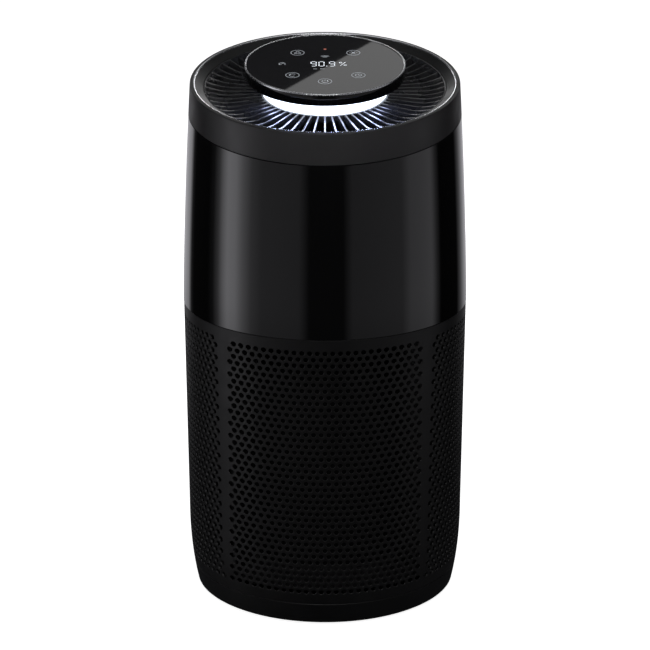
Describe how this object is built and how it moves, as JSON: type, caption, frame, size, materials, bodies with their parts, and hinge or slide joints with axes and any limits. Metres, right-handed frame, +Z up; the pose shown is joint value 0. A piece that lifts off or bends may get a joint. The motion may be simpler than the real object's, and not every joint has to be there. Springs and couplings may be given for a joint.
{
  "type": "air purifier",
  "caption": "Upright cylindrical room air purifier with a perforated lower shell, ring filter, centrifugal fan, slanted radial outlet grille and a lit round display pod.",
  "frame": {"origin": "on the floor, at the middle of the base", "axes": "+Z up, -Y towards the front, where the slanted top is lowest and the display faces; +X to the right as seen from the front"},
  "size_m": [0.3248, 0.3248, 0.6322],
  "materials": {
    "gloss_shell": "high-gloss moulded",
    "matte_shell": "fine matte moulded",
    "inner_plastic": "plain moulded",
    "grille": "satin moulded",
    "light_guide": "frosted translucent, lit from inside",
    "glass": "dark back-printed glass",
    "bright_metal": "polished",
    "steel": "bright zinc plated",
    "copper": "enamelled winding",
    "circuit_board": "solder mask",
    "rubber": "matte",
    "filter_paper": "pleated fibre",
    "carbon": "granular",
    "foam": "open cell and woven mesh"
  },
  "bodies": {
    "housing": {"air_duct": "inner_plastic", "base_pan": "matte_shell", "base_screw_1": "steel", "base_screw_2": "steel", "base_screw_3": "steel", "base_screw_4": "steel", "bearing_lower": "bright_metal", "bearing_upper": "bright_metal", "control_board": "circuit_board", "display_bezel": "bright_metal", "display_glass": "glass", "display_lead": "rubber", "display_pod": "gloss_shell", "dust_sensor": "inner_plastic", "fan_deck": "inner_plastic", "filter_tray": "inner_plastic", "foot_pad_1": "rubber", "foot_pad_2": "rubber", "foot_pad_3": "rubber", "foot_pad_4": "rubber", "frame_magnet_1": "steel", "frame_magnet_2": "steel", "inlet_guard": "inner_plastic", "led_strip": "circuit_board", "light_ring": "light_guide", "lower_shell": "matte_shell", "mains_inlet": "inner_plastic", "motor_cap": "steel", "motor_cover": "inner_plastic", "motor_housing": "steel", "motor_lead": "rubber", "motor_screw_1": "steel", "motor_screw_2": "steel", "motor_screw_3": "steel", "motor_winding": "copper", "outlet_grille": "grille", "pod_screw_1": "steel", "pod_screw_2": "steel", "pod_screw_3": "steel", "power_board": "circuit_board", "power_transformer": "inner_plastic", "stator_mount": "inner_plastic", "top_rim": "matte_shell", "upper_shell": "gloss_shell"},
    "impeller": {"impeller": "inner_plastic", "impeller_nut": "steel", "motor_shaft": "steel", "motor_rotor": "steel"},
    "filter_door": {"filter_door": "matte_shell", "door_magnet_1": "steel", "door_magnet_2": "steel"},
    "filter": {"filter_cap_bottom": "inner_plastic", "filter_cap_top": "inner_plastic", "filter_gasket": "foam", "filter_media": "filter_paper", "carbon_layer": "carbon", "prefilter_mesh": "foam", "filter_pull_tab": "inner_plastic"},
    "sensor_cover": {"sensor_cover": "gloss_shell"}
  },
  "joints": [
    {"name": "fan_spin", "type": "hinge", "parent": "housing", "child": "impeller", "pos_m": [0, 0, 0.38], "axis": [0, 0, 1], "continuous": true},
    {"name": "door_slide", "type": "slide", "parent": "housing", "child": "filter_door", "axis": [0, 1, 0], "range_m": [0, 0.42]},
    {"name": "filter_slide", "type": "slide", "parent": "housing", "child": "filter", "axis": [0, 1, 0], "range_m": [0, 0.3]},
    {"name": "sensor_cover_hinge", "type": "hinge", "parent": "housing", "child": "sensor_cover", "pos_m": [0, 0.1611, 0.4007], "axis": [-1, 0, 0], "range_deg": [0, 90]}
  ],
  "couplings": [
    {"joint": "filter_slide", "follows": "door_slide", "ratio": 0.7}
  ]
}
